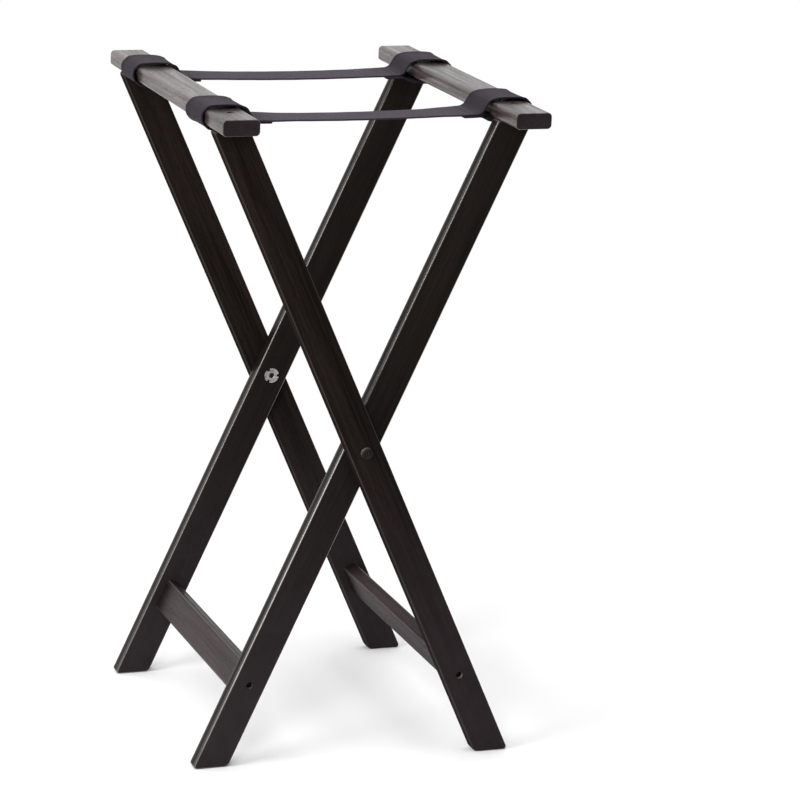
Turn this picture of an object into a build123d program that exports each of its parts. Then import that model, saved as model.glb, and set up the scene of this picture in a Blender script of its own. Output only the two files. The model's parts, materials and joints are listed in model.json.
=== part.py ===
from build123d import *
import os
from math import atan2, cos, degrees, radians, sin, tan

# Folding wooden tray stand, in millimetres: two leg frames crossed on a pair of pivot
# bolts, with two webbing straps between the rails. The floor is z = 0, x runs from the
# outer frame's rail to the inner frame's rail, and y runs from the front to the rear.

# Stance, with the stand open
stand_height = 790.0            # floor to the top of the rails
pivot_drop = 1.5                # pivot below the middle of the legs' height
lean = 24.4                     # degrees of each leg from upright
frame_depth = 412.0             # over the outer faces of the outer legs

# Legs: flat boards cut level at both ends
leg_width = 40.0
leg_thickness = 19.0
leg_edge = 2.5                  # rounding of the long edges
heel_radius = 8.5               # blunt corner of the foot
toe_radius = 3.5                # sharp corner of the foot
leg_top_radius = 4.0            # both corners under the rail

# Top rails
rail_length = 485.0
rail_width = 44.0
rail_thickness = 19.0
rail_edge = 5.0
rail_end_edge = 1.2

# Lower stretchers
stretcher_width = 40.0          # along the leg
stretcher_thickness = 18.0      # across the leg
stretcher_edge = 4.0
stretcher_height = 100.0        # floor to the middle of the stretcher

# Pivot bolt, spacer washer and three-pronged tee nut
bolt_diameter = 6.0
bolt_head_diameter = 14.5
bolt_head_height = 3.8
bolt_tip_recess = 0.8           # tip below the tee nut's flange
bolt_tip_chamfer = 0.6
washer_thickness = 1.2
washer_diameter = 16.0
nut_flange_diameter = 19.0
nut_flange_thickness = 1.4
nut_barrel_diameter = 7.8
nut_barrel_length = 10.0        # below the flange
prong_count = 3
prong_width = 3.6
prong_length = 7.5
prong_shoulder_share = 0.45     # of the prong's length, where its point begins
prong_inset = 2.6               # from the flange's rim to the outside of a prong

# Wood screws
screw_diameter = 4.2
screw_tip_length = 4.0
stretcher_screw_length = 46.0   # under the head
stretcher_screw_head_diameter = 7.4
stretcher_screw_head_height = 2.8
stretcher_screw_sink = 6.0      # depth of the counterbore
rail_screw_length = 50.0        # from the top of the head
rail_screw_head_diameter = 8.2
rail_screw_sink = 0.6           # head below the top of the rail

# Domed heads, and the cross recess in every head
head_rim_share = 0.4            # of a domed head's height, up to its crown
recess_share = 0.56             # of the head's diameter, across the cross
recess_slot = 1.1
recess_depth = 1.7

# Straps: webbing with a sewn loop round each rail
strap_width = 60.0
strap_thickness = 2.0
strap_outer_gap = 13.0          # from the outer legs to the edge of a loop, along the rail
strap_inner_gap = 1.7           # the same from the inner legs
loop_top_gap = 0.5              # the loop lies on the rail
loop_side_gap = 1.8             # and hangs slack round the rest of it
loop_bottom_gap = 1.8
strap_drop = 15.0               # top of the rail to the middle of the sewn strap
strap_sag = 3.0                 # further drop at mid-span
strap_lead = 11.5               # from the loop to the seam
seam_length = 21.5
strap_bend = 8.0                # radius where the strap leaves the rail

# Fits
running_clearance = 0.1         # between the frames, and round the bolt in its leg
screw_clearance = 0.05          # radial, fixed fasteners in their holes
head_clearance = 0.4            # radial, screw head in its counterbore

# Worked out from the above
slope = tan(radians(lean))
level_half = leg_width / 2 / cos(radians(lean))
rail_underside = stand_height - rail_thickness
pivot_height = rail_underside / 2 - pivot_drop
rail_centre_x = (rail_underside - pivot_height) * slope
rail_centre_z = stand_height - rail_thickness / 2
leg_gap = washer_thickness + running_clearance
outer_leg_face = frame_depth / 2
outer_leg_back = outer_leg_face - leg_thickness
inner_leg_face = outer_leg_back - leg_gap
inner_leg_back = inner_leg_face - leg_thickness
strap_outer_centre = outer_leg_back - strap_outer_gap - strap_width / 2
strap_inner_centre = inner_leg_back - strap_inner_gap - strap_width / 2
bolt_radius = bolt_diameter / 2
screw_radius = screw_diameter / 2

outer, inner = -1, 1            # side of x that a frame's rail lies on
front, rear = -1, 1             # side of y
side_names = {front: "front", rear: "rear"}


def leg_point(frame, height):
    # A point on a leg's centre line, so far above the floor.
    return (-frame * (pivot_height - height) * slope, height)


def along_y(x, y, z, heading):
    # A frame of reference at a point, with its z axis along +y or -y.
    return Plane(origin=(x, y, z), x_dir=(1, 0, 0), z_dir=(0, heading, 0))


def turned(points):
    # A solid of revolution about z from its half section, given as (radius, z) points.
    section = make_face(Plane.XZ * Polyline(*points, close=True))
    return revolve(section, Axis.Z)


def cross_recess(head_diameter):
    # Cutter for a cross recess that opens at z = 0 towards -z.
    reach = head_diameter * recess_share
    low = (Align.CENTER, Align.CENTER, Align.MIN)
    return Box(reach, recess_slot, recess_depth, align=low) + Box(recess_slot, reach, recess_depth, align=low)


def domed_head(diameter, height):
    # Pan head that stands on z = 0 and rises towards -z, with its cross recess.
    radius = diameter / 2
    rim = height * head_rim_share
    crown = TangentArc((0, -height), (radius, -rim), tangent=(1, 0))
    base = Polyline((radius, -rim), (radius, 0), (0, 0), (0, -height))
    head = revolve(make_face(Plane.XZ * (crown + base)), Axis.Z)
    return head - Pos(0, 0, -height) * cross_recess(diameter)


def make_leg(frame, face, back, side):
    # A leg board between its outer and inner faces, cut level at the floor and the rail.
    foot_x = -frame * pivot_height * slope
    top_x = frame * rail_centre_x
    corners = [
        (foot_x - level_half, 0),
        (foot_x + level_half, 0),
        (top_x + level_half, rail_underside),
        (top_x - level_half, rail_underside),
    ]
    foot_radii = [heel_radius, toe_radius] if frame == outer else [toe_radius, heel_radius]
    outline = make_face(Plane.XZ * Polyline(*corners, close=True))
    for (x, z), radius in zip(corners, foot_radii + [leg_top_radius] * 2):
        corner = outline.vertices().sort_by_distance((x, 0, z))[0]
        outline = fillet(corner, radius)
    board = extrude(outline, amount=face - back, dir=(0, 1, 0))
    board = fillet(board.faces().filter_by(Axis.Y).edges(), leg_edge)
    return Pos(0, min(side * face, side * back), 0) * board


def stretcher_screw_place(frame, face, side):
    # Seat of the head in the leg's counterbore, pointing into the stretcher.
    x, z = leg_point(frame, stretcher_height)
    return along_y(x, side * (face - stretcher_screw_sink), z, -side)


def rail_screw_place(frame, face, back, side):
    # Top of the sunk head, pointing down through the rail into the leg.
    y = side * (face + back) / 2
    return Plane(origin=(frame * rail_centre_x, y, stand_height - rail_screw_sink), z_dir=(0, 0, -1))


def screw_shank(length, extra=0.0):
    # Plain shank with a pointed tip, from z = 0.
    radius = screw_radius + extra
    return turned([(0, 0), (radius, 0), (radius, length - screw_tip_length), (0, length)])


def make_stretcher_screw(frame, face, side):
    head = domed_head(stretcher_screw_head_diameter, stretcher_screw_head_height)
    screw = head + screw_shank(stretcher_screw_length)
    return stretcher_screw_place(frame, face, side) * screw


def stretcher_screw_hole(frame, face, side):
    # Counterbore from the leg's face, and the hole that the shank fills.
    radius = stretcher_screw_head_diameter / 2 + head_clearance
    low = (Align.CENTER, Align.CENTER, Align.MAX)
    bore = Cylinder(radius, stretcher_screw_sink, align=low)
    hole = bore + screw_shank(stretcher_screw_length + screw_clearance, screw_clearance)
    return stretcher_screw_place(frame, face, side) * hole


def countersunk_shank(extra=0.0):
    # Flat-headed screw from the top of its head at z = 0.
    head = rail_screw_head_diameter / 2 + extra
    radius = screw_radius + extra
    end = rail_screw_length + extra
    points = [(0, 0), (head, 0), (radius, head - radius), (radius, end - screw_tip_length), (0, end)]
    return turned(points)


def make_rail_screw(frame, face, back, side):
    screw = countersunk_shank() - cross_recess(rail_screw_head_diameter)
    return rail_screw_place(frame, face, back, side) * screw


def rail_screw_hole(frame, face, back, side):
    # The countersink is carried up to the top of the rail.
    mouth = rail_screw_head_diameter / 2 + screw_clearance
    top = Cylinder(mouth, rail_screw_sink, align=(Align.CENTER, Align.CENTER, Align.MAX))
    return rail_screw_place(frame, face, back, side) * (countersunk_shank(screw_clearance) + top)


def make_rail(frame):
    section = RectangleRounded(rail_width, rail_thickness, rail_edge)
    rail = extrude(Plane.XZ * section, amount=rail_length / 2, both=True)
    rail = fillet(rail.faces().filter_by(Axis.Y).edges(), rail_end_edge)
    return Pos(frame * rail_centre_x, 0, rail_centre_z) * rail


def make_stretcher(frame, back):
    # Between the inner faces of its legs, with its wide face along them.
    x, z = leg_point(frame, stretcher_height)
    across = (cos(radians(lean)), 0, -frame * sin(radians(lean)))
    section = RectangleRounded(stretcher_thickness, stretcher_width, stretcher_edge)
    return extrude(Plane(origin=(x, 0, z), x_dir=across, z_dir=(0, 1, 0)) * section, amount=back, both=True)


def make_bolt(side):
    # Head on the outer leg's face, tip inside the tee nut.
    head_seat = outer_leg_face + running_clearance
    tip = inner_leg_back - nut_flange_thickness + bolt_tip_recess
    length = head_seat - tip
    shank = turned([
        (0, 0),
        (bolt_radius, 0),
        (bolt_radius, length - bolt_tip_chamfer),
        (bolt_radius - bolt_tip_chamfer, length),
        (0, length),
    ])
    bolt = domed_head(bolt_head_diameter, bolt_head_height) + shank
    return along_y(0, side * head_seat, pivot_height, -side) * bolt


def make_washer(side):
    middle = outer_leg_back - running_clearance - washer_thickness / 2
    hole = bolt_radius + running_clearance
    ring = Cylinder(washer_diameter / 2, washer_thickness) - Cylinder(hole, washer_thickness)
    return along_y(0, side * middle, pivot_height, -side) * ring


def make_prong():
    # One pointed tongue bent down from the flange, standing on z = 0 towards +z.
    outside = nut_flange_diameter / 2 - prong_inset
    half = prong_width / 2
    shoulder = prong_length * prong_shoulder_share
    outline = Polyline(
        (-half, 0), (half, 0), (half, shoulder), (0, prong_length), (-half, shoulder), close=True
    )
    tongue = Plane(origin=(outside, 0, 0), x_dir=(0, 1, 0), z_dir=(1, 0, 0)) * make_face(outline)
    return extrude(tongue, amount=nut_flange_thickness, dir=(-1, 0, 0))


def tee_nut_place(side):
    # On the inner leg's inside face, with the barrel pointing into the leg.
    return along_y(0, side * inner_leg_back, pivot_height, side)


def nut_prongs():
    return [Rot(0, 0, 90 + turn * 360 / prong_count) * make_prong() for turn in range(prong_count)]


def make_tee_nut(side):
    upward = (Align.CENTER, Align.CENTER, Align.MAX)
    onward = (Align.CENTER, Align.CENTER, Align.MIN)
    flange = Cylinder(nut_flange_diameter / 2, nut_flange_thickness, align=upward)
    barrel = Cylinder(nut_barrel_diameter / 2, nut_barrel_length, align=onward)
    nut = flange + barrel
    notch_middle = nut_flange_diameter / 2
    notch = Box(2 * prong_inset, prong_width, 3 * nut_flange_thickness)
    for turn in range(prong_count):
        nut -= Rot(0, 0, 90 + turn * 360 / prong_count) * Pos(notch_middle, 0, 0) * notch
    for prong in nut_prongs():
        nut += prong
    bore = Cylinder(bolt_radius + screw_clearance, 3 * nut_barrel_length)
    return tee_nut_place(side) * (nut - bore)


def outer_pivot_hole(side):
    # Running hole for the bolt, right through the outer leg.
    return along_y(0, 0, pivot_height, side) * Cylinder(bolt_radius + running_clearance, 2 * frame_depth)


def inner_pivot_hole(side):
    # Hole for the bolt, the tee nut's barrel and its prongs.
    onward = (Align.CENTER, Align.CENTER, Align.MIN)
    hole = Cylinder(bolt_radius + running_clearance, 2 * leg_thickness, align=onward)
    hole += Cylinder(nut_barrel_diameter / 2 + screw_clearance, nut_barrel_length, align=onward)
    for prong in nut_prongs():
        hole += prong
    return tee_nut_place(side) * hole


def strap_band(points, radii):
    # Solid strip of webbing, centred on y, along a run of straights joined by arcs.
    with BuildLine() as route:
        FilletPolyline(*points, radius=radii)
    edge = route.wire().offset_2d(strap_thickness / 2, side=Side.BOTH)
    return extrude(Plane.XZ * make_face(edge), amount=strap_width / 2, both=True)


def make_strap(side):
    # Each half: under the rail, up its outside, over the top and down to the seam.
    half = strap_thickness / 2
    wide = rail_width / 2 + loop_side_gap + half
    high = stand_height + loop_top_gap + half
    low = rail_underside - loop_bottom_gap - half
    corner = rail_edge + half
    skew = atan2(strap_inner_centre - strap_outer_centre, 2 * rail_centre_x)
    rail_at = rail_centre_x / cos(skew)
    seam_at = rail_at - wide - strap_lead
    seam_z = stand_height - strap_drop
    right = [
        (seam_at, seam_z),
        (rail_at - wide, high),
        (rail_at + wide, high),
        (rail_at + wide, low),
        (rail_at, low),
    ]
    left = [(-x, z) for x, z in reversed(right)]
    bends = [corner, corner, corner, strap_bend]
    middle_bend = seam_at * seam_at / strap_sag / 3
    strap = strap_band(left + [(0, seam_z - strap_sag)] + right, bends + [middle_bend] + bends[::-1])
    tail_z = seam_z - strap_thickness
    tail_slope = strap_sag / seam_at
    for hand in (-1, 1):
        tail = [
            (hand * rail_at, low),
            (hand * (rail_at - wide), low),
            (hand * seam_at, tail_z),
            (hand * (seam_at - seam_length), tail_z - seam_length * tail_slope),
        ]
        strap += strap_band(tail, [corner, strap_bend])
    middle_y = side * (strap_outer_centre + strap_inner_centre) / 2
    return Pos(0, middle_y, 0) * Rot(0, 0, side * degrees(skew)) * strap


def make_frame(frame, name, face, back, pivot_hole):
    # Legs, rail and stretcher of one frame, with the screws that hold them.
    rail = make_rail(frame)
    stretcher = make_stretcher(frame, back)
    pieces = {}
    for side, side_name in side_names.items():
        rail_hole = rail_screw_hole(frame, face, back, side)
        stretcher_hole = stretcher_screw_hole(frame, face, side)
        leg = make_leg(frame, face, back, side) - pivot_hole(side) - rail_hole - stretcher_hole
        pieces[f"{name}_leg_{side_name}"] = leg
        pieces[f"{name}_rail_screw_{side_name}"] = make_rail_screw(frame, face, back, side)
        pieces[f"{name}_stretcher_screw_{side_name}"] = make_stretcher_screw(frame, face, side)
        rail -= rail_hole
        stretcher -= stretcher_hole
    pieces[f"{name}_top_rail"] = rail
    pieces[f"{name}_stretcher"] = stretcher
    return pieces


parts = make_frame(outer, "outer", outer_leg_face, outer_leg_back, outer_pivot_hole)
parts |= make_frame(inner, "inner", inner_leg_face, inner_leg_back, inner_pivot_hole)
for side, side_name in side_names.items():
    parts[f"pivot_bolt_{side_name}"] = make_bolt(side)
    parts[f"spacer_washer_{side_name}"] = make_washer(side)
    parts[f"tee_nut_{side_name}"] = make_tee_nut(side)
    parts[f"strap_{side_name}"] = make_strap(side)

os.makedirs("parts", exist_ok=True)
for node, solid in parts.items():
    export_step(solid, f"parts/{node}.step")
    print(node, round(solid.volume, 1))
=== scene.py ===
import json
import math

import bpy
from mathutils import Matrix, Vector


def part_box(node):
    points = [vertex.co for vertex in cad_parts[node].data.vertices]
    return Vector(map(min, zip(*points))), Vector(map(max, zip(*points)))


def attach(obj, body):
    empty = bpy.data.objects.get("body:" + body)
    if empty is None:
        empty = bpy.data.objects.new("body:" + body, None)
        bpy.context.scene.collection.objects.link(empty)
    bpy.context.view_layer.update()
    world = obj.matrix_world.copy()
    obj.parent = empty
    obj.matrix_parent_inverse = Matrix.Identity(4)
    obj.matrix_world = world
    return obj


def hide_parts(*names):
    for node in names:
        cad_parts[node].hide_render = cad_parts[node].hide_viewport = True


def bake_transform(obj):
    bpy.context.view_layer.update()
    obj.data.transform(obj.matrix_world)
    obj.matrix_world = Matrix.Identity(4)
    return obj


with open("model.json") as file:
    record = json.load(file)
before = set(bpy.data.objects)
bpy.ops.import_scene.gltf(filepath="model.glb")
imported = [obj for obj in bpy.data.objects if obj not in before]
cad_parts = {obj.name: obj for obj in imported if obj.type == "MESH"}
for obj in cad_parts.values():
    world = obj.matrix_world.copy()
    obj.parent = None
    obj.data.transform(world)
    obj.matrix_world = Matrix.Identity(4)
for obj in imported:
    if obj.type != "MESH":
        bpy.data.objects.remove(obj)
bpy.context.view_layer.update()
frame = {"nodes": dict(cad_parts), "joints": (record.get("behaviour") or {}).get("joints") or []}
nodes = frame["nodes"]
standSides = (("front", -1), ("rear", 1))     # along Y
print("frame loaded:", len(nodes), "CAD nodes")


class Wire:
    # one output of a node; arithmetic on it adds Math nodes
    def __init__(self, finish, socket):
        self.finish = finish
        self.socket = socket

    def maths(self, operation, first, second=0.0):
        return self.finish.node("ShaderNodeMath", {"operation": operation}, {0: first, 1: second})

    def __add__(self, other):
        return self.maths("ADD", self, other)

    def __sub__(self, other):
        return self.maths("SUBTRACT", self, other)

    def __rsub__(self, other):
        return self.maths("SUBTRACT", other, self)

    def __mul__(self, other):
        return self.maths("MULTIPLY", self, other)

    def __truediv__(self, other):
        return self.maths("DIVIDE", self, other)

    def __mod__(self, other):
        return self.maths("FLOORED_MODULO", self, other)

    def __neg__(self):
        return 0.0 - self

    def __abs__(self):
        return self.maths("ABSOLUTE", self)

    __radd__ = __add__
    __rmul__ = __mul__

    def larger(self, other):
        return self.maths("MAXIMUM", self, other)

    def smaller(self, other):
        return self.maths("MINIMUM", self, other)

    def floor(self):
        return self.maths("FLOOR", self)

    def sine(self):
        return self.maths("SINE", self)

    def between(self, low, high):
        # 0 below low, 1 above high, smooth between
        settings = {"interpolation_type": "SMOOTHSTEP"}
        inputs = {"Value": self, "From Min": low, "From Max": high}
        return self.finish.node("ShaderNodeMapRange", settings, inputs)


class Finish:
    # a material, or the world, under construction round its shader
    def __init__(self, name, library=bpy.data.materials, shader="Principled BSDF"):
        self.made = library.new(name)
        self.made.use_nodes = True
        self.tree = self.made.node_tree
        self.shader = self.tree.nodes[shader]

    def feed(self, socket, value):
        if isinstance(value, Wire):
            self.tree.links.new(value.socket, socket)
        else:
            socket.default_value = value

    def node(self, kind, settings, inputs, output=0):
        made = self.tree.nodes.new(kind)
        for setting, value in settings.items():
            setattr(made, setting, value)
        for socket, value in inputs.items():
            self.feed(made.inputs[socket], value)
        return Wire(self, made.outputs[output])

    def coordinates(self, output):
        return self.node("ShaderNodeTexCoord", {}, {}, output)

    def turned(self, vector, rotation, kind="POINT"):
        inputs = {"Vector": vector, "Rotation": rotation}
        return self.node("ShaderNodeMapping", {"vector_type": kind}, inputs)

    def parts(self, vector):
        split = self.node("ShaderNodeSeparateXYZ", {}, {0: vector})
        return [Wire(self, out) for out in split.socket.node.outputs]

    def lengthOf(self, vector):
        return self.node("ShaderNodeVectorMath", {"operation": "LENGTH"}, {0: vector}, 1)

    def noise(self, vector, scale, detail, roughness, distortion=0.0):
        inputs = {"Vector": vector, "Scale": scale, "Detail": detail, "Roughness": roughness}
        return self.node("ShaderNodeTexNoise", {}, {**inputs, "Distortion": distortion})

    def streaks(self, vector, size, **noise):
        # a noise with one unit for each of these sizes in metres
        inputs = {"Vector": vector, "Scale": [1 / length for length in size]}
        return self.noise(self.node("ShaderNodeMapping", {"vector_type": "POINT"}, inputs), 1.0, **noise)

    def mixed(self, factor, first, second):
        # the Mix node's colour sockets are inputs 6 and 7 and output 2
        return self.node("ShaderNodeMix", {"data_type": "RGBA"}, {0: factor, 6: first, 7: second}, 2)

    def bump(self, height, depth, strength):
        return self.node("ShaderNodeBump", {}, {"Height": height, "Distance": depth, "Strength": strength})

    def dress(self, **sockets):
        for name, value in sockets.items():
            self.feed(self.shader.inputs[name.replace("_", " ")], value)
        return self.made


def patchy(mask, least):
    # from the least where the mask is 0 to 1 where it is 1
    return least + mask * (1 - least)


# Camera

photoView = dict(
    azimuth=-20.018,      # degrees, from straight ahead towards the left
    elevation=14.666,
    roll=2.329,
    distance=4.364,       # metres to the aim point
    aim=(0.1137, 0.0, 0.3894),
    lens=159.24,
    sensor=36.0,
    reach=50.0,           # how far it sees, past the floor's far edge
)


def placeCamera(look):
    azimuth = math.radians(look["azimuth"])
    elevation = math.radians(look["elevation"])
    back = Vector((
        math.sin(azimuth) * math.cos(elevation),
        -math.cos(azimuth) * math.cos(elevation),
        math.sin(elevation),
    ))
    level = Vector((math.cos(azimuth), math.sin(azimuth), 0))
    facing = Matrix((level, back.cross(level), back)).transposed().to_4x4()
    rolled = facing @ Matrix.Rotation(math.radians(look["roll"]), 4, "Z")
    place = Matrix.Translation(Vector(look["aim"]) + back * look["distance"])
    bpy.ops.object.select_all(action="DESELECT")
    bpy.ops.object.camera_add()
    camera = bpy.context.object
    camera.name = "photoCamera"
    camera.matrix_world = place @ rolled
    camera.data.lens = look["lens"]
    camera.data.sensor_width = look["sensor"]
    camera.data.clip_end = look["reach"]
    bpy.context.scene.camera = camera


placeCamera(photoView)
print("camera placed")


# Stained wood

woodLook = dict(
    dark=(0.0056, 0.0043, 0.0037, 1),
    light=(0.0138, 0.0098, 0.0081, 1),
    endGrain=(0.0140, 0.0102, 0.0128, 1),
    wornEdge=(0.1100, 0.0930, 0.0840, 1),
    # painted highlight colour for the lower front-left edge of the front inner leg
    edgeHighlightColour=(0.3000, 0.2830, 0.2740, 1),
    bored=(0.2000, 0.1650, 0.1450, 1),    # walls of the screw holes
    rubbed=(0.0780, 0.0520, 0.0530, 1),   # where hands and trays wear the stain
    # paler colour towards the floor: dust together with painted light bounced off the floor
    dustAndBounceColour=(0.0340, 0.0270, 0.0315, 1),
    lean=24.4,            # degrees of the legs from upright
    # sizes are metres across and along a streak, ranges are the part of a noise that shows
    fibre=dict(size=(0.0030, 0.0030, 0.11), detail=4.0, roughness=0.6),
    fibreRange=(0.30, 0.72),
    figure=dict(size=(0.020, 0.020, 0.42), detail=3.0, roughness=0.5, distortion=0.6),    # broad bands
    figureRange=(0.32, 0.70),
    pores=dict(size=(0.0009, 0.0009, 0.011), detail=1.0, roughness=0.4),
    poreRange=(0.60, 0.70),
    scuffs=dict(scale=38.0, detail=4.0, roughness=0.65),
    scuffRange=(0.36, 0.66),
    tone=dict(fibre=0.55, figure=0.45, pores=0.7),
    roughness=dict(least=0.34, fibre=0.16, pores=0.12, ends=0.14, worn=0.04),
    relief=dict(fibre=0.45, figure=0.25, pores=0.55, depth=0.00016, strength=0.8),
    coat=dict(edge=0.9, least=0.52, roughness=0.24, ior=1.55),
    # how far a surface faces along an axis, from where a mask starts to where it is full
    flatFacing=(0.78, 0.98),
    endFacing=(0.80, 0.97),
    sideFacing=(0.86, 0.97),
    wipedFacing=(0.80, 0.95),
    broadFacing=(0.3, 0.6),
    endShare=0.85,        # of the end grain's own colour, on the ends
    wornLeast=0.62,       # of the wear, between the scuffs
    edgeHighlightLeast=0.60,
    dustAndBounceTop=0.44,         # metres above the floor
    dustAndBounceLeast=0.25,
    dustAndBounceScuffs=0.55,      # more of it in the scuffs
    wiped=0.85,           # of the paleness near the floor, off the narrow faces
    shadeReach=0.070,      # from the rear leg along a stretcher, where painted shade darkens it by the joint
    boreReach=(0.0046, 0.0056),   # from the axis of a screw
    sideDull=0.15,        # share of a leg's narrow face, at its middle, that stays dull
    # painted highlight on the lower left edge of the front leg: how far it faces left and forwards, and
    # where it starts and ends
    edgeHighlight=dict(left=(0.36, 0.66), forwards=(0.26, 0.56),
              front=(0.0, 0.1), above=(0.0, 0.16), below=(0.30, 0.46)),
)


def boreWall(wood, spot, alongY, screw, look):
    # 1 on the bare wall of the hole that a stretcher's screw is sunk in
    low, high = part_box(screw)
    axis = (low + high) / 2
    aside = wood.node("ShaderNodeCombineXYZ", {}, {0: spot[0] - axis.x, 2: spot[2] - axis.z})
    near = 1 - wood.lengthOf(aside).between(*look["boreReach"])
    return near * (1 - alongY.between(*look["broadFacing"]))


def rubbedSides(spot, alongX, leg, look):
    # 1 towards the edges of the legs' narrow faces, where hands have rubbed them smooth
    low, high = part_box(leg)
    half = (high.y - low.y) / 2
    fromMiddle = abs(abs(spot[1]) - (low.y + high.y) / 2)
    return alongX.between(*look["sideFacing"]) * fromMiddle.between(half * look["sideDull"], half)


def paintedEdgeHighlight(spot, facing, edgeHighlight):
    # 1 on the lower left edge of the front leg, where a pale highlight line is painted
    corner = (-facing[0]).between(*edgeHighlight["left"]) * (-facing[1]).between(*edgeHighlight["forwards"])
    height = spot[2].between(*edgeHighlight["above"]) * (1 - spot[2].between(*edgeHighlight["below"]))
    return corner * (-spot[1]).between(*edgeHighlight["front"]) * height


def stainedWood(name, board, look):
    # the board is turned so that its length lies along Z and its faces square to X and Y
    wood = Finish(name)
    turn = [math.radians(angle) for angle in board["turn"]]
    stand = wood.coordinates("Object")
    spot = wood.parts(stand)
    place = wood.turned(stand, turn)
    fibre = wood.streaks(place, **look["fibre"])
    figure = wood.streaks(place, **look["figure"])
    pores = wood.streaks(place, **look["pores"]).between(*look["poreRange"])
    scuffs = wood.noise(place, **look["scuffs"])
    scuffed = scuffs.between(*look["scuffRange"])

    facing = wood.parts(wood.turned(wood.coordinates("Normal"), turn, "NORMAL"))
    alongX, alongY, alongZ = [abs(part) for part in facing]
    edges = (1 - alongX.larger(alongY).larger(alongZ).between(*look["flatFacing"])) * board["edge"]
    worn = edges * patchy(scuffed, look["wornLeast"])
    ends = alongZ.between(*look["endFacing"])

    shares = look["tone"]
    tone = fibre.between(*look["fibreRange"]) * shares["fibre"]
    tone = tone + figure.between(*look["figureRange"]) * shares["figure"]
    tone = tone * (1 - pores * shares["pores"])
    handled = tone * board["handled"]
    # paler towards the floor: dust together with painted bounce light from the floor
    dustAndBounce = (1 - spot[2].between(0.0, look["dustAndBounceTop"])) * (look["dustAndBounceLeast"] + scuffs * look["dustAndBounceScuffs"])
    # painted shade: towards the rear leg the stretcher loses its rubbed paleness and the paleness near the
    # floor, and goes dark
    if board["shadedEnd"]:
        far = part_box(board["shadedEnd"])[1].y
        outOfShade = 1 - spot[1].between(far - look["shadeReach"], far)
        handled = handled * outOfShade
        dustAndBounce = dustAndBounce * outOfShade
    if board["side"]:
        dustAndBounce = dustAndBounce * (1 - alongX.between(*look["wipedFacing"]) * look["wiped"])

    colour = wood.mixed(tone, look["dark"], look["light"])
    colour = wood.mixed(handled, colour, look["rubbed"])
    colour = wood.mixed(dustAndBounce, colour, look["dustAndBounceColour"])
    colour = wood.mixed(ends * look["endShare"], colour, look["endGrain"])
    colour = wood.mixed(worn, colour, look["wornEdge"])
    polished = (1 - ends) * board["polish"] * (look["coat"]["least"] + tone)
    coat = (edges * look["coat"]["edge"]).larger(polished)
    if board["side"]:
        # painted highlight along the lower front-left edge
        edgeHighlight = paintedEdgeHighlight(spot, facing, look["edgeHighlight"]) * patchy(scuffed, look["edgeHighlightLeast"])
        colour = wood.mixed(edgeHighlight, colour, look["edgeHighlightColour"])
        coat = coat.larger(rubbedSides(spot, alongX, board["leg"], look) * board["side"])
    if board["bore"]:
        wall = boreWall(wood, spot, alongY, board["screw"], look)
        colour = wood.mixed(wall * board["bore"], colour, look["bored"])

    rough = look["roughness"]
    roughness = rough["least"] + fibre * rough["fibre"] + pores * rough["pores"]
    roughness = roughness + ends * rough["ends"] - worn * rough["worn"]
    relief = look["relief"]
    height = fibre * relief["fibre"] + figure * relief["figure"] - pores * relief["pores"]
    return wood.dress(
        Base_Color=colour,
        Roughness=roughness,
        Normal=wood.bump(height, relief["depth"], relief["strength"]),
        Specular_IOR_Level=board["gloss"],
        Coat_Weight=coat,
        Coat_Roughness=look["coat"]["roughness"],
        Coat_IOR=look["coat"]["ior"],
    )


lean = woodLook["lean"]
plainBoard = dict(
    handled=0.0,          # how far the stain is rubbed pale
    polish=0.0,           # clear coat
    gloss=0.0,            # specular level
    edge=0.0,             # how far the edges are worn
    side=0.0,             # gloss towards the edges of a leg's narrow faces; a leg with it also gets the painted edge highlight
    bore=0.0,             # how bare the walls of the screw holes are
    shadedEnd="",           # the stretcher whose rear end gets painted shade
)
boards = {
    # by the start of a node's name
    "outer_leg": dict(plainBoard, turn=(0, lean, 0), handled=0.07, edge=0.20,
                      bore=0.9, screw="outer_stretcher_screw_front"),
    "inner_leg": dict(plainBoard, turn=(0, -lean, 0), gloss=0.035, edge=1.0,
                      side=0.85, leg="inner_leg_rear", bore=0.35, screw="inner_stretcher_screw_front"),
    "outer_stretcher": dict(plainBoard, turn=(90, 0, lean), handled=0.75, gloss=0.022,
                            edge=0.25, shadedEnd="outer_stretcher"),
    "inner_stretcher": dict(plainBoard, turn=(90, 0, -lean), handled=0.62, polish=0.10, gloss=0.045,
                            edge=0.45, shadedEnd="inner_stretcher"),
    "outer_top_rail": dict(plainBoard, turn=(90, 0, 0), handled=0.90, polish=0.63, gloss=0.045, edge=0.5),
    "inner_top_rail": dict(plainBoard, turn=(90, 0, 0), handled=1.00, polish=0.78, gloss=0.045, edge=0.5),
}
boardWood = {start: stainedWood(start + "_wood", board, woodLook) for start, board in boards.items()}


# Screws, bolts, washers and tee nuts

steelLook = dict(
    grit=dict(scale=900.0, detail=3.0, roughness=0.6),    # scales are per metre
    gritDepth=0.00004,
    gritStrength=0.4,
    marks=dict(scale=260.0, detail=4.0, roughness=0.7),
    black=(0.0078, 0.0057, 0.0046, 1),
    blackRoughness=0.12,
    blackGrit=0.14,       # more roughness in the grit
    blackGloss=0.07,
    rubbed=(0.062, 0.052, 0.045, 1),
    rubbedRange=(0.56, 0.74),
    rubbedShare=0.6,
    rubbedMetal=0.4,
    rim=(0.160, 0.139, 0.124, 1),     # painted highlight on the rims of the bolt heads that face up and to the left
    highlightFlat=(0.66, 0.97),     # facing along Y, from the rim to the flat faces
    highlightUp=(0.0, 0.75),        # facing up and to the left
    highlightLeft=0.7,
    zinc=(0.40, 0.38, 0.37, 1),
    zincRoughness=0.24,
    zincMarks=0.22,
    dulled=(0.16, 0.145, 0.14, 1),
    dulledRange=(0.42, 0.70),
)


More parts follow.
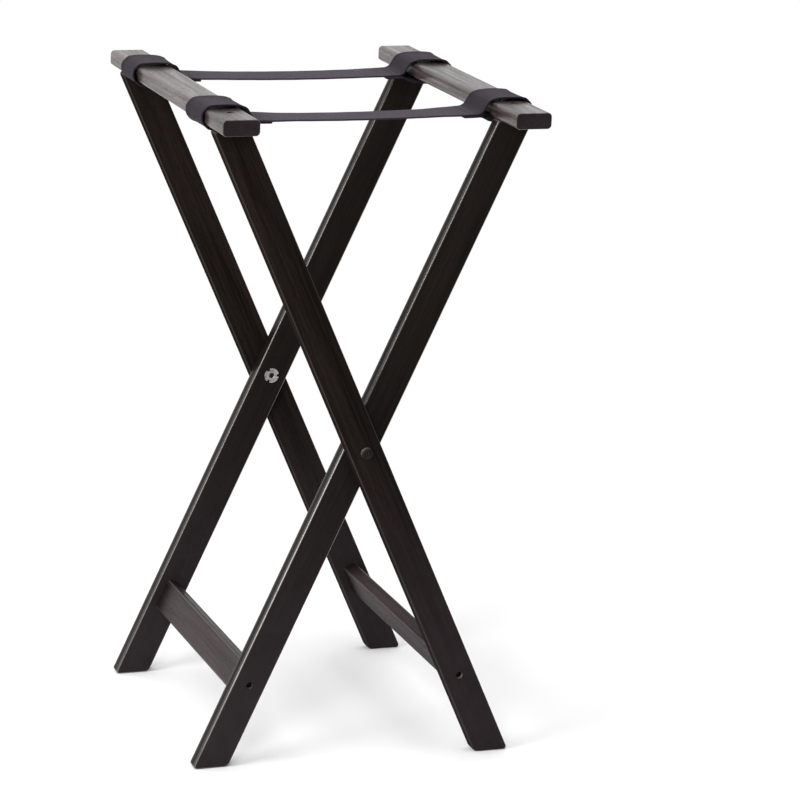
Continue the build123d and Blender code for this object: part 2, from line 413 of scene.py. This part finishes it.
def blackSteel(name, look, rimHighlight):
    steel = Finish(name)
    place = steel.coordinates("Object")
    grit = steel.noise(place, **look["grit"])
    rubbed = steel.noise(place, **look["marks"]).between(*look["rubbedRange"])
    x, y, z = steel.parts(steel.coordinates("Normal"))
    # painted highlight: the rim facing up and to the left is paler, on the bolts only
    upperLeftHighlight = (z - x * look["highlightLeft"]).between(*look["highlightUp"])
    wiped = (1 - abs(y).between(*look["highlightFlat"])) * upperLeftHighlight * rimHighlight
    colour = steel.mixed(rubbed * look["rubbedShare"], look["black"], look["rubbed"])
    return steel.dress(
        Base_Color=steel.mixed(wiped, colour, look["rim"]),
        Metallic=rubbed * look["rubbedMetal"],
        Roughness=look["blackRoughness"] + grit * look["blackGrit"],
        Normal=steel.bump(grit, look["gritDepth"], look["gritStrength"]),
        Specular_IOR_Level=look["blackGloss"],
    )


def zincSteel(look):
    steel = Finish("zincSteel")
    place = steel.coordinates("Object")
    grit = steel.noise(place, **look["grit"])
    marks = steel.noise(place, **look["marks"])
    return steel.dress(
        Base_Color=steel.mixed(marks.between(*look["dulledRange"]), look["zinc"], look["dulled"]),
        Metallic=1.0,
        Roughness=look["zincRoughness"] + marks * look["zincMarks"],
        Normal=steel.bump(grit, look["gritDepth"], look["gritStrength"]),
    )


def dressNodes(zinc):
    screwSteel = blackSteel("screwSteel", steelLook, 0.0)
    boltSteel = blackSteel("boltSteel", steelLook, 1.0)
    for name, node in nodes.items():
        finish = next((wood for start, wood in boardWood.items() if name.startswith(start)), None)
        if "screw" in name:
            finish = screwSteel
        if "bolt" in name:
            finish = boltSteel
        if "nut" in name or "washer" in name:
            finish = zinc
        if finish:
            node.material_slots[0].material = finish


brightZinc = zincSteel(steelLook)
dressNodes(brightZinc)
print("wood and steel dressed")


teeNutLook = dict(
    flange=0.0190,        # across
    sheet=0.0014,         # thickness of the stamped steel
    bore=0.0061,
    lip=0.0016,           # the sheet is drawn down round the bore
    lipSteps=6,
    rim=0.0004,
    rimMiddle=0.3,        # of the rim, at the middle of its rounding
    barrel=0.0078,
    barrelLength=0.0100,
    roundSteps=120,
    notches=(0, 120, 240),    # degrees
    notchHalf=10.0,       # degrees to each side
    notchDepth=0.0026,
    cornerHalf=13.0,
    corner=0.96,          # of the radius, left at the rounded corners of a notch
    prongInside=0.0055,   # from the axis
    prongShoulder=0.0034,
    prongLength=0.0075,
    doubles=0.000005,     # points closer than this are one
    slip=0.00005,         # allowed when points are picked by their place
    smoothTo=35.0,        # degrees
)


def nutProfile(look):
    # half section of the nut as radius and depth into the leg, round to the start again
    bore = look["bore"] / 2
    flange = look["flange"] / 2
    barrel = look["barrel"] / 2
    face = -look["sheet"]
    lip = look["lip"]
    rim = look["rim"]
    cut = rim * look["rimMiddle"]
    angles = [math.pi / 2 * step / look["lipSteps"] for step in range(look["lipSteps"] + 1)]
    drawn = [(bore + lip * (1 - math.cos(angle)), face + lip * (1 - math.sin(angle))) for angle in angles]
    edge = [(flange - rim, face), (flange - cut, face + cut), (flange, face + rim), (flange, 0)]
    back = [(look["prongInside"], 0), (barrel, 0), (barrel, look["barrelLength"])]
    start = (bore, look["barrelLength"])
    return [start] + drawn + edge + back + [start]


def choose(piece, test):
    # selects the points that pass the test, in edit mode
    bpy.ops.object.mode_set(mode="EDIT")
    bpy.ops.mesh.select_all(action="DESELECT")
    bpy.ops.object.mode_set(mode="OBJECT")
    for vertex in piece.data.vertices:
        vertex.select = test(vertex.co)
    bpy.ops.object.mode_set(mode="EDIT")


def offNotch(point, notch):
    # degrees round the axis from the middle of a notch
    angle = math.degrees(math.atan2(point.y, point.x)) - notch
    return abs((angle + 180) % 360 - 180)


def drawNut(name, look):
    # the half section is drawn round the axis, ring by ring
    profile = nutProfile(look)
    radius, depth = profile[0]
    bpy.ops.object.select_all(action="DESELECT")
    bpy.ops.mesh.primitive_circle_add(vertices=look["roundSteps"], radius=radius)
    nut = bpy.context.object
    nut.name = name + "TeeNut"
    bpy.ops.object.mode_set(mode="EDIT")
    bpy.ops.mesh.select_mode(type="VERT")
    bpy.ops.mesh.select_all(action="SELECT")
    bpy.ops.transform.translate(value=(0, 0, depth))
    for (wide, high), (nextWide, nextHigh) in zip(profile, profile[1:]):
        bpy.ops.mesh.extrude_region_move(TRANSFORM_OT_translate={"value": (0, 0, nextHigh - high)})
        grow = nextWide / wide
        bpy.ops.transform.resize(value=(grow, grow, 1), center_override=(0, 0, 0))
    bpy.ops.mesh.select_all(action="SELECT")
    bpy.ops.mesh.remove_doubles(threshold=look["doubles"])
    bpy.ops.mesh.normals_make_consistent(inside=False)
    return nut


def pressNotches(nut, look):
    # the rim goes in at the notches, and a little beside them
    flange = look["flange"] / 2
    inside = flange - look["rim"] - look["slip"]
    pressed = 1 - look["notchDepth"] / flange
    presses = ((look["corner"], look["notchHalf"], look["cornerHalf"]), (pressed, -1, look["notchHalf"]))
    for share, near, far in presses:
        choose(nut, lambda point: point.xy.length > inside
               and any(near < offNotch(point, notch) <= far for notch in look["notches"]))
        bpy.ops.transform.resize(value=(share, share, 1), center_override=(0, 0, 0))


def bendProngs(nut, look):
    # below each notch the sheet is drawn down to a point
    inside = look["prongInside"] - look["slip"]
    reaches = (look["prongShoulder"], look["prongLength"] - look["prongShoulder"])
    for notch in look["notches"]:
        choose(nut, lambda point: abs(point.z) < look["slip"] and point.xy.length > inside
               and offNotch(point, notch) < look["notchHalf"])
        for reach in reaches:
            bpy.ops.mesh.extrude_region_move(TRANSFORM_OT_translate={"value": (0, 0, reach)})
        bpy.ops.mesh.merge(type="CENTER")
    bpy.ops.object.mode_set(mode="OBJECT")


def makeTeeNuts(look):
    pivot = Vector(frame["joints"][0]["pos_m"])
    for name, side in standSides:
        low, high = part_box("tee_nut_" + name)
        legFace = min(abs(low.y), abs(high.y)) + look["sheet"]
        nut = drawNut(name, look)
        pressNotches(nut, look)
        bendProngs(nut, look)
        bpy.ops.object.shade_smooth_by_angle(angle=math.radians(look["smoothTo"]))
        intoLeg = Matrix.Rotation(-side * math.pi / 2, 4, "X")
        nut.data.transform(Matrix.Translation((pivot.x, side * legFace, pivot.z)) @ intoLeg)
        nut.data.materials.append(brightZinc)
        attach(nut, "inner_frame")
        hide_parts("tee_nut_" + name)
    print("tee nuts stamped")


makeTeeNuts(teeNutLook)


# Webbing straps

strapLook = dict(
    width=0.060,
    thickness=0.0020,
    outerGap=0.0130,      # from the outer legs to the edge of a loop
    innerGap=0.0017,
    topGap=0.0005,        # loop over the rail
    sideGap=0.0018,
    bottomGap=0.0018,
    crown=0.0019,         # the slack loop stands up over the rail
    bulge=0.0010,         # off its outer side
    belly=0.0016,         # and hangs below it
    flare=0.0011,         # more so at the two edges
    ripple=0.0003,        # the edges aren't quite straight
    rippleLength=0.037,
    # how far the tails stray along the outer and the inner rail
    drift=dict(front=(0.0008, -0.0010), rear=(-0.0012, -0.0042)),
    lead=0.0115,          # from the loop to the seam
    drop=0.0150,          # top of the rail to the strap at the seam
    sag=0.0030,
    tilt=dict(front=0.045, rear=0.019),   # the spans' front edges lie a little higher
    tiltRun=0.060,        # metres from the seam until it does
    seam=0.0215,
    turns=dict(under=0.011, outside=0.009, over=0.009, leave=0.012),
    arcSteps=9,
    runStep=0.005,
    spanSteps=28,         # on each half of the span
    acrossSteps=18,
    edgeRound=0.0006,
    edgeSteps=2,
    edgeFrom=50.0,        # degrees, the sharper edges are rounded
    smoothTo=40.0,
    foldFrom=0.34,        # share of the span where its folded middle starts
    foldRun=0.32,         # and the share that the middle takes
)


def strapFrame(look):
    # where the rails and legs are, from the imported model
    low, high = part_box("inner_top_rail")
    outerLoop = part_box("outer_leg_rear")[0].y - look["outerGap"] - look["width"] / 2
    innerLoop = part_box("inner_leg_rear")[0].y - look["innerGap"] - look["width"] / 2
    railX = (low.x + high.x) / 2
    skew = math.atan2(innerLoop - outerLoop, 2 * railX)
    railAt = railX / math.cos(skew)
    halfRail = (high.x - low.x) / 2
    return dict(
        railAt=railAt,
        halfRail=halfRail,
        top=high.z,
        bottom=low.z,
        skew=skew,
        middleY=(outerLoop + innerLoop) / 2,
        seamAt=railAt - halfRail - look["sideGap"] - look["thickness"] / 2 - look["lead"],
        seamZ=high.z - look["drop"],
        pivot=frame["joints"][0]["pos_m"][2],
        turn=math.radians(frame["joints"][0]["range_deg"][1]),
    )


def roundedRun(corners, radii, steps):
    # straight runs joined by arcs, as a list of points
    points = [corners[0]]
    for before, corner, after, radius in zip(corners, corners[1:], corners[2:], radii):
        into = (corner - before).normalized()
        out = (after - corner).normalized()
        turn = into.angle_signed(out)
        reach = abs(radius * math.tan(turn / 2))
        start = corner - into * reach
        side = Vector((-into.y, into.x)) * math.copysign(radius, -turn)
        for step in range(steps + 1):
            angle = -turn * step / steps
            points.append(start + side - Matrix.Rotation(angle, 2) @ side)
    return points + [corners[-1]]


def divided(points, step):
    # more points along the straight runs
    fuller = points[:1]
    for before, after in zip(points, points[1:]):
        count = math.ceil((after - before).length / step)
        fuller += [before.lerp(after, share / count) for share in range(1, count + 1)]
    return fuller


def slacken(point, look, place):
    # the loop is a little too big for its rail
    across = (point.x - place["railAt"]) / place["halfRail"]
    up = (2 * point.y - place["top"] - place["bottom"]) / (place["top"] - place["bottom"])
    if abs(across) < 1 and up > 1:
        point.y += look["crown"] * (1 - across ** 4)
    elif abs(across) < 1 and up < -1:
        point.y -= look["belly"] * (1 - across ** 2)
    elif across > 1 and abs(up) < 1:
        point.x += look["bulge"] * (1 - up ** 2)


def strapRoute(look, place):
    # centre line of one strap from tail to tail, with x along it and z up
    half = look["thickness"] / 2
    wide = place["halfRail"] + look["sideGap"] + half
    high = place["top"] + look["topGap"] + half
    low = place["bottom"] - look["bottomGap"] - half
    railAt = place["railAt"]
    seamAt = place["seamAt"]
    seamZ = place["seamZ"]
    tailZ = seamZ - look["thickness"]
    tailDrop = 2 * look["sag"] * look["seam"] / seamAt
    inner = seamAt - look["seam"]
    corners = [Vector(point) for point in (
        (inner, tailZ - tailDrop),
        (seamAt, tailZ),
        (railAt - wide, low),
        (railAt + wide, low),
        (railAt + wide, high),
        (railAt - wide, high),
        (seamAt, seamZ),
        (inner, seamZ - tailDrop),
    )]
    radii = [look["turns"][name] for name in ("leave", "leave", "under", "outside", "over", "leave")]
    loop = divided(roundedRun(corners, radii, look["arcSteps"]), look["runStep"])
    for point in loop:
        slacken(point, look, place)
    steps = look["spanSteps"]
    spanX = [inner * step / steps for step in range(steps - 1, -steps, -1)]
    span = [Vector((x, seamZ - look["sag"] * (1 - (x / seamAt) ** 2))) for x in spanX]
    mirrored = [Vector((-point.x, point.y)) for point in reversed(loop)]
    return loop + span + mirrored


def strapSeat(place, side):
    # from the strap's own x, y and z to the stand's
    skewed = Matrix.Rotation(side * place["skew"], 4, "Z")
    return Matrix.Translation((0, side * place["middleY"], 0)) @ skewed


def smooth(share):
    share = min(max(share, 0), 1)
    return share * share * (3 - 2 * share)


def runLengths(route):
    # how far along the strap each point of its route is
    lengths = [0.0]
    for before, after in zip(route, route[1:]):
        lengths.append(lengths[-1] + (after - before).length)
    return lengths


def webPoint(name, look, place, point, along, length, share):
    # where a point of the flat web comes to lie, in the strap's own x, y and z
    middleZ = (place["top"] + place["bottom"]) / 2
    outward = Vector((abs(point.x) - place["railAt"], point.y - middleZ)).normalized()
    looped = smooth((abs(point.x) - place["seamAt"]) / look["lead"])
    lift = look["flare"] * (2 * share) ** 4 * looped * outward
    tailShare = smooth(1 - min(along, length - along) / (length / 2 - place["seamAt"]))
    drift = look["drift"][name][0 if point.x > 0 else 1] * tailShare
    wave = math.sin(2 * math.pi * along / look["rippleLength"] + share)
    ripple = look["ripple"] * (2 * share) ** 3 * wave
    tilted = smooth((place["seamAt"] - abs(point.x)) / look["tiltRun"])
    tilt = look["tilt"][name] * share * look["width"] * tilted
    x = point.x + math.copysign(lift.x, lift.x * point.x)
    return Vector((-x, share * look["width"] + drift + ripple, point.y + lift.y - tilt))


def thicken(strap, look):
    solid = strap.modifiers.new("webThickness", "SOLIDIFY")
    solid.thickness = look["thickness"]
    solid.offset = 0
    rim = strap.modifiers.new("webEdge", "BEVEL")
    rim.width = look["edgeRound"]
    rim.segments = look["edgeSteps"]
    rim.limit_method = "ANGLE"
    rim.angle_limit = math.radians(look["edgeFrom"])
    for modifier in ("webThickness", "webEdge"):
        bpy.ops.object.modifier_apply(modifier=modifier)
    bpy.ops.object.mode_set(mode="EDIT")
    bpy.ops.mesh.select_all(action="SELECT")
    bpy.ops.mesh.normals_make_consistent(inside=False)
    bpy.ops.object.mode_set(mode="OBJECT")
    bpy.ops.object.shade_smooth_by_angle(angle=math.radians(look["smoothTo"]))


def layStrap(name, side, look, place, route, lengths):
    # a flat grid, one column of points for each point of the route, is laid along it
    last = len(route) - 1
    bpy.ops.object.select_all(action="DESELECT")
    bpy.ops.mesh.primitive_grid_add(x_subdivisions=last, y_subdivisions=look["acrossSteps"], size=1)
    strap = bpy.context.object
    strap.name = name + "Strap"
    mesh = strap.data
    stations = [min(round((vertex.co.x + 0.5) * last), last) for vertex in mesh.vertices]
    across = [vertex.co.y for vertex in mesh.vertices]
    for corner, spot in zip(mesh.loops, mesh.uv_layers.active.data):
        spot.uv = (lengths[stations[corner.vertex_index]], across[corner.vertex_index] * look["width"])
    seat = strapSeat(place, side)
    for vertex, station, share in zip(mesh.vertices, stations, across):
        along = lengths[station]
        vertex.co = seat @ webPoint(name, look, place, route[station], along, lengths[-1], share)
    thicken(strap, look)
    return strap


webLook = dict(
    dark=(0.0112, 0.0082, 0.0120, 1),
    light=(0.0600, 0.0482, 0.0635, 1),
    yarn=0.0013,          # metres across a warp yarn
    pick=0.0020,          # metres along between crossings
    sunk=0.45,            # of a yarn's height, left where it dips under
    fade=dict(scale=26.0, detail=3.0, roughness=0.55),    # scales are per metre
    slubs=dict(scale=320.0, detail=3.0, roughness=0.6),
    fuzz=dict(scale=1400.0, detail=2.0, roughness=0.6),
    tone=dict(yarns=0.42, fade=0.26, slubs=0.20, fuzz=0.12),
    toneRange=(0.12, 0.82),
    loopShade=0.62,         # the loops are painted darker than the spans, whose paler colour stands in for their grazing sheen
    loopSideShade=0.25,     # painted shade, more again on the loops' sides off the top of the rail
    loopEdgeShade=0.35,     # and along their edges, painted shade with the web's darker edge
    spanReach=(-0.012, 0.038),    # metres along the strap, round the end of a loop
    dropReach=(-0.045, -0.020),
    topReach=(-0.012, 0.010),     # round where the loop comes onto the top of the rail
    edgeReach=(0.32, 0.49),       # of the width, from the middle
    relief=0.00025,
    reliefStrength=0.9,
    fuzzRelief=0.15,
    roughness=0.62,
    fuzzRoughness=0.16,
    sheen=0.034,
    sheenRoughness=0.35,
    sheenTint=(0.70, 0.54, 0.76, 1),
    gloss=0.10,
)


def overReach(wire, start, reach):
    # 0 to 1 over a reach that is measured from the start
    low, high = reach
    return wire.between(start + low, start + high)


def wovenWeb(look, width, length, loop, top):
    # loop is the length at each end that goes round a rail, top the part of it up to the rail's top
    web = Finish("wovenWeb")
    along, across = web.parts(web.coordinates("UV"))[:2]
    column = across / look["yarn"]
    parity = column.floor() % 2.0
    ridge = abs((column * math.pi).sine())
    crossing = (along * (2 * math.pi / look["pick"]) + parity * math.pi).sine() * 0.5 + 0.5
    yarns = ridge * patchy(crossing, look["sunk"])
    place = web.coordinates("Object")
    fade = web.noise(place, **look["fade"])
    slubs = web.noise(place, **look["slubs"])
    fuzz = web.noise(place, **look["fuzz"])
    shares = look["tone"]
    tone = yarns * shares["yarns"] + fade * shares["fade"]
    tone = tone + slubs * shares["slubs"] + fuzz * shares["fuzz"]
    tone = tone.between(*look["toneRange"])
    fromEnd = along.smaller(length - along)
    span = overReach(fromEnd, loop, look["spanReach"])
    edge = abs(across).between(*[width * part for part in look["edgeReach"]])
    rising = 1 - overReach(fromEnd, top, look["topReach"])
    side = rising.larger(overReach(fromEnd, loop, look["dropReach"]))
    # painted shade on the loops, more on their sides and edges; the spans keep the paler colour that
    # stands in for their sheen
    shadeShare = (look["loopShade"] + edge * look["loopEdgeShade"] + side * look["loopSideShade"]).smaller(1.0)
    loopShade = (1 - span) * shadeShare
    return web.dress(
        Base_Color=web.mixed(tone * (1 - loopShade), look["dark"], look["light"]),
        Roughness=look["roughness"] + fuzz * look["fuzzRoughness"],
        Normal=web.bump(yarns + fuzz * look["fuzzRelief"], look["relief"], look["reliefStrength"]),
        Sheen_Weight=look["sheen"],
        Sheen_Roughness=look["sheenRoughness"],
        Sheen_Tint=look["sheenTint"],
        Specular_IOR_Level=look["gloss"],
    )


def hangWeight(local, look, place):
    # 0 on the outer frame, 1 on the inner; folded, the strap hangs between the rails
    half = look["thickness"] / 2
    edge = place["railAt"] - place["halfRail"] - look["sideGap"] - half
    share = (local.x / edge + 1) / 2
    if not 0 < share < 1:
        return float(share >= 1)
    reach = place["seamZ"] - place["pivot"]
    edgeAngle = math.atan2(edge, reach)
    middle = smooth((share - look["foldFrom"]) / look["foldRun"])
    gap = 2 * edgeAngle - place["turn"]
    rise = local.z - (place["seamZ"] - half - look["sag"] * (1 - (local.x / edge) ** 2))
    tilt = (2 * middle - 1) * rise / math.hypot(edge, reach)
    turned = math.atan2(local.x, reach) + edgeAngle - gap * middle + tilt
    return min(max(turned / place["turn"], 0), 1)


def hangOnFrames(piece, look, place, side):
    # the piece's transform is baked into its points, and each point's weight from the outer frame (0) to
    # the inner (1) is worked out
    edge = place["railAt"] - place["halfRail"]
    y = side * place["middleY"]
    -edge
    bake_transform(piece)
    back = strapSeat(place, side).inverted()
    weights = [hangWeight(back @ vertex.co, look, place) for vertex in piece.data.vertices]


stitchLook = dict(
    length=0.0027,
    thick=0.0008,
    pitch=0.0036,
    margin=0.0050,        # from the edge of the strap
    rows=(0.0065, 0.0180),    # metres from the loop's end of a seam
    segments=8,           # round and along a stitch
    rings=6,
    thread=(0.050, 0.043, 0.053, 1),
    worn=(0.110, 0.098, 0.115, 1),
    wornRange=(0.3, 0.7),
    twist=dict(size=(0.0004, 0.0009, 0.0004), detail=2.0, roughness=0.5),
    relief=0.0001,
    reliefStrength=0.7,
    roughness=0.55,
    twistRoughness=0.2,
    gloss=0.25,
)


def sewnThread(look):
    thread = Finish("sewnThread")
    twist = thread.streaks(thread.coordinates("Object"), **look["twist"])
    return thread.dress(
        Base_Color=thread.mixed(twist.between(*look["wornRange"]), look["thread"], look["worn"]),
        Roughness=look["roughness"] + twist * look["twistRoughness"],
        Normal=thread.bump(twist, look["relief"], look["reliefStrength"]),
        Specular_IOR_Level=look["gloss"],
    )


def seamSpots(look, strap, place):
    # two rows across each seam, seen on the strap and under the tail that is sewn to it
    half = strap["width"] / 2 - look["margin"]
    count = int(2 * half / look["pitch"])
    fall = 2 * strap["sag"] / place["seamAt"]
    heights = (strap["thickness"] / 2, -1.5 * strap["thickness"])
    spots = []
    for end in (-1, 1):
        for row in look["rows"]:
            x = end * (place["seamAt"] - row)
            z = place["seamZ"] - fall * row
            spots += [(x, (step / count * 2 - 1) * half, z + height)
                      for height in heights for step in range(count + 1)]
    return spots


def sewSeams(name, side, look, strap, place):
    # one stitch is modelled, copied to its spots and joined
    bpy.ops.object.select_all(action="DESELECT")
    bpy.ops.mesh.primitive_uv_sphere_add(segments=look["segments"], ring_count=look["rings"], radius=0.5)
    first = bpy.context.object
    first.name = name + "Stitches"
    first.data.transform(Matrix.Diagonal((look["thick"], look["length"], look["thick"], 1)))
    bpy.ops.object.shade_smooth()
    pattern = first.data.copy()
    seat = strapSeat(place, side)
    spots = seamSpots(look, strap, place)
    first.data.transform(seat @ Matrix.Translation(spots[0]))
    for spot in spots[1:]:
        stitch = first.copy()
        stitch.data = pattern.copy()
        stitch.data.transform(seat @ Matrix.Translation(spot))
        bpy.context.collection.objects.link(stitch)
        stitch.select_set(True)
    bpy.ops.object.join()
    bpy.data.meshes.remove(pattern)
    return first


def makeStraps():
    place = strapFrame(strapLook)
    route = strapRoute(strapLook, place)
    lengths = runLengths(route)
    length = lengths[-1]
    top = next(along for point, along in zip(route, lengths) if point.y > place["top"])
    web = wovenWeb(webLook, strapLook["width"], length, length / 2 - place["seamAt"], top)
    thread = sewnThread(stitchLook)
    for name, side in standSides:
        strap = layStrap(name, side, strapLook, place, route, lengths)
        stitches = sewSeams(name, side, stitchLook, strapLook, place)
        for piece, finish in ((strap, web), (stitches, thread)):
            piece.data.materials.clear()
            piece.data.materials.append(finish)
            hangOnFrames(piece, strapLook, place, side)
        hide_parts("strap_" + name)
        print(name, "strap", round(length, 4), "m long, sewn")


makeStraps()


# Floor and light

studioLook = dict(
    floor=(0.94, 0.94, 0.94, 1),
    floorRoughness=0.9,
    floorGloss=0.1,
    floorSize=24.0,
    floorDrop=0.0003,     # just clear of the feet
    plainFrom=0.38,       # metres from the stand, where the floor starts to go plain white
    plainFully=1.1,
    white=(1, 1, 1, 1),
    sky=0.55,
    overhead=dict(place=(-0.2, 0.5, 2.6), aim=(0, 0, 0), size=3.4, power=44.0),
    left=dict(place=(-2.4, -0.7, 1.3), aim=(0, 0, 0.45), size=1.2, power=45.0),
    front=dict(place=(-1.3, -2.3, 1.8), aim=(0, 0, 0.40), size=0.8, power=28.0),
)


def softBox(name, look):
    bpy.ops.object.light_add(type="AREA", location=look["place"])
    lamp = bpy.context.object
    lamp.name = name
    lamp.data.size = look["size"]
    lamp.data.energy = look["power"]
    aim = Vector(look["aim"]) - Vector(look["place"])
    lamp.rotation_euler = aim.to_track_quat("-Z", "Y").to_euler()


def seenRays(finish):
    # 1 for what the camera sees, straight, by a reflection or through glass
    rays = [finish.node("ShaderNodeLightPath", {}, {}, kind)
            for kind in ("Is Camera Ray", "Is Glossy Ray", "Is Transmission Ray")]
    return rays[0].larger(rays[1]).larger(rays[2])


def paleFloor(look):
    pale = Finish("paleFloor")
    distance = pale.lengthOf(pale.coordinates("Object"))
    away = distance.between(look["plainFrom"], look["plainFully"])
    pale.dress(
        Base_Color=look["floor"],
        Roughness=look["floorRoughness"],
        Specular_IOR_Level=look["floorGloss"],
    )
    white = pale.node("ShaderNodeEmission", {}, {"Color": look["white"], "Strength": 1.0})
    lit = Wire(pale, pale.shader.outputs[0])
    both = pale.node("ShaderNodeMixShader", {}, {0: away * seenRays(pale), 1: lit, 2: white})
    pale.feed(pale.tree.nodes["Material Output"].inputs["Surface"], both)
    return pale.made


def makeStudio(look):
    bpy.ops.object.select_all(action="DESELECT")
    bpy.ops.mesh.primitive_plane_add(size=look["floorSize"], location=(0, 0, -look["floorDrop"]))
    floor = bpy.context.object
    floor.name = "studioFloor"
    floor.data.materials.append(paleFloor(look))
    softBox("overheadBox", look["overhead"])
    softBox("leftBox", look["left"])
    softBox("frontBox", look["front"])
    sky = Finish("paleStudio", bpy.data.worlds, "Background")
    sky.dress(Color=look["white"], Strength=look["sky"] + seenRays(sky) * (1 - look["sky"]))
    bpy.context.scene.world = sky.made
    bpy.context.scene.view_settings.view_transform = "Standard"


makeStudio(studioLook)
print("studio lit")
